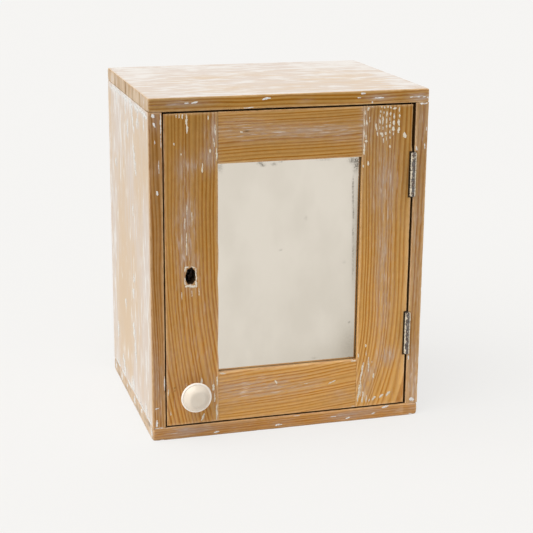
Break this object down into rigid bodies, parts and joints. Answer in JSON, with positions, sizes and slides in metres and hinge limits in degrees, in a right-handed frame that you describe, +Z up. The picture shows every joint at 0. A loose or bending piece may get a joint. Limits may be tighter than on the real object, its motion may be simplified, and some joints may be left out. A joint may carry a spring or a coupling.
{
  "type": "medicine cabinet",
  "caption": "Small pine wall cabinet with a hinged mirror door, round knob, keyhole lock, nailed shelves and a boarded back.",
  "frame": {"origin": "middle of the bottom board's underside", "axes": "+Z up, -Y out of the door's front, +X towards the hinges"},
  "size_m": [0.32, 0.2725, 0.39],
  "materials": {
    "pine_carcass": "stripped pine with a whitewash of old paint",
    "pine_door": "stripped golden pine with flecks of old white paint",
    "pine_inside": "bare pine",
    "mirror_glass": "old silvered glass with worn edges",
    "backing_panel": "thin brown backing panel",
    "hinge_steel": "dull steel with cream paint left on it",
    "knob": "ivory, softly glossy",
    "lock_steel": "dull plain steel",
    "nail_iron": "dark iron"
  },
  "bodies": {
    "cabinet": {"top_board": "pine_carcass", "bottom_board": "pine_carcass", "left_side": "pine_carcass", "right_side": "pine_carcass", "hanging_rail": "pine_inside", "back_board_1": "pine_inside", "back_board_2": "pine_inside", "back_board_3": "pine_inside", "lower_shelf": "pine_inside", "upper_shelf": "pine_inside", "shelf_cleat_lower_left": "pine_inside", "shelf_cleat_lower_right": "pine_inside", "shelf_cleat_upper_left": "pine_inside", "shelf_cleat_upper_right": "pine_inside", "door_stop_top": "pine_inside", "door_stop_bottom": "pine_inside", "carcass_nails": "nail_iron", "back_brads": "nail_iron", "cleat_brads": "nail_iron", "shelf_brads": "nail_iron", "stop_brads": "nail_iron", "hinge_upper_cabinet_leaf": "hinge_steel", "hinge_lower_cabinet_leaf": "hinge_steel", "hinge_upper_pin": "hinge_steel", "hinge_lower_pin": "hinge_steel", "cabinet_hinge_screws": "hinge_steel"},
    "door": {"left_stile": "pine_door", "right_stile": "pine_door", "top_rail": "pine_door", "bottom_rail": "pine_door", "mirror": "mirror_glass", "mirror_backing": "backing_panel", "glazing_bead_left": "pine_inside", "glazing_bead_right": "pine_inside", "glazing_bead_top": "pine_inside", "glazing_bead_bottom": "pine_inside", "bead_brads": "nail_iron", "hinge_upper_door_leaf": "hinge_steel", "hinge_lower_door_leaf": "hinge_steel", "door_hinge_screws": "hinge_steel", "knob": "knob", "knob_screw": "lock_steel", "knob_washer": "lock_steel", "lock_case": "lock_steel", "lock_cap": "lock_steel", "lock_drill_pin": "lock_steel", "lock_screws": "lock_steel"},
    "bolt": {"lock_bolt": "lock_steel", "lock_bolt_spring": "lock_steel"}
  },
  "joints": [
    {"name": "door_hinge", "type": "hinge", "parent": "cabinet", "child": "door", "pos_m": [0.1437, -0.1263, 0.198], "axis": [0, 0, 1], "range_deg": [0, 180]},
    {"name": "bolt_slide", "type": "slide", "parent": "door", "child": "bolt", "axis": [-1, 0, 0], "range_m": [0, 0.007]}
  ]
}
